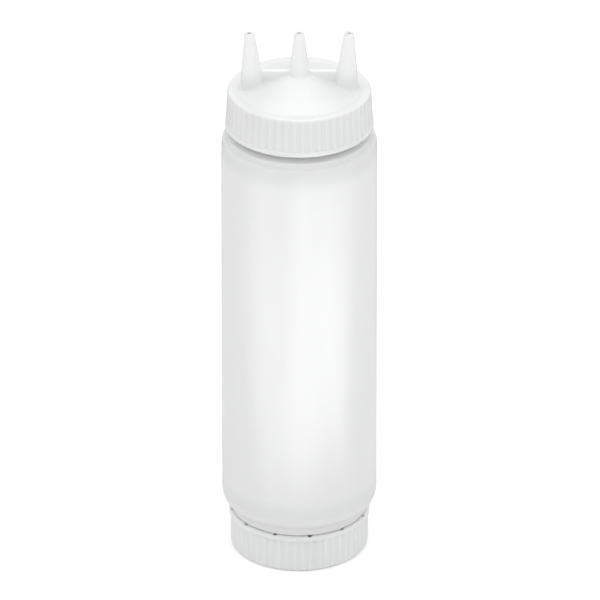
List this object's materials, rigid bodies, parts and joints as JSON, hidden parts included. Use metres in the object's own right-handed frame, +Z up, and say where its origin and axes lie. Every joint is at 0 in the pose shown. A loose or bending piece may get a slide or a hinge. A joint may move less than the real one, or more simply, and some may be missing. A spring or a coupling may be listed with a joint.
{
  "type": "condiment squeeze bottle",
  "caption": "Tall translucent squeeze bottle, open at both ends, standing on a ribbed screw base cap under a ribbed screw cap with slender nozzles in a row.",
  "frame": {"origin": "centre of the base cap's flat underside, on the surface that the bottle stands on", "axes": "+Z up the bottle's axis towards the nozzles, X along the row of nozzles, -Y towards the viewer of the picture"},
  "size_m": [0.07, 0.07, 0.2577],
  "materials": {
    "bottle_plastic": "satin translucent",
    "cap_plastic": "glossy translucent",
    "base_plastic": "glossy translucent",
    "seal_rubber": "matt"
  },
  "bodies": {
    "base_cap": {"base_cap": "base_plastic"},
    "base_seal": {"base_seal": "seal_rubber"},
    "bottle": {"bottle": "bottle_plastic"},
    "top_seal": {"top_seal": "seal_rubber"},
    "tri_tip_cap": {"tri_tip_cap": "cap_plastic"}
  },
  "joints": [
    {"name": "base_turn", "type": "hinge", "parent": "base_cap", "child": "base_seal", "pos_m": [0, 0, 0.003], "axis": [0, 0, 1], "range_deg": [0, 1350]},
    {"name": "base_rise", "type": "slide", "parent": "base_seal", "child": "bottle", "axis": [0, 0, 1], "range_m": [0, 0.01576]},
    {"name": "tip_cap_rise", "type": "slide", "parent": "bottle", "child": "top_seal", "axis": [0, 0, 1], "range_m": [0, 0.01576]},
    {"name": "tip_cap_turn", "type": "hinge", "parent": "top_seal", "child": "tri_tip_cap", "pos_m": [0, 0, 0.228], "axis": [0, 0, 1], "range_deg": [0, 1350]}
  ],
  "couplings": [
    {"joint": "base_rise", "follows": "base_turn", "m_per_rad": 0.00066845},
    {"joint": "tip_cap_rise", "follows": "tip_cap_turn", "m_per_rad": 0.00066845}
  ]
}
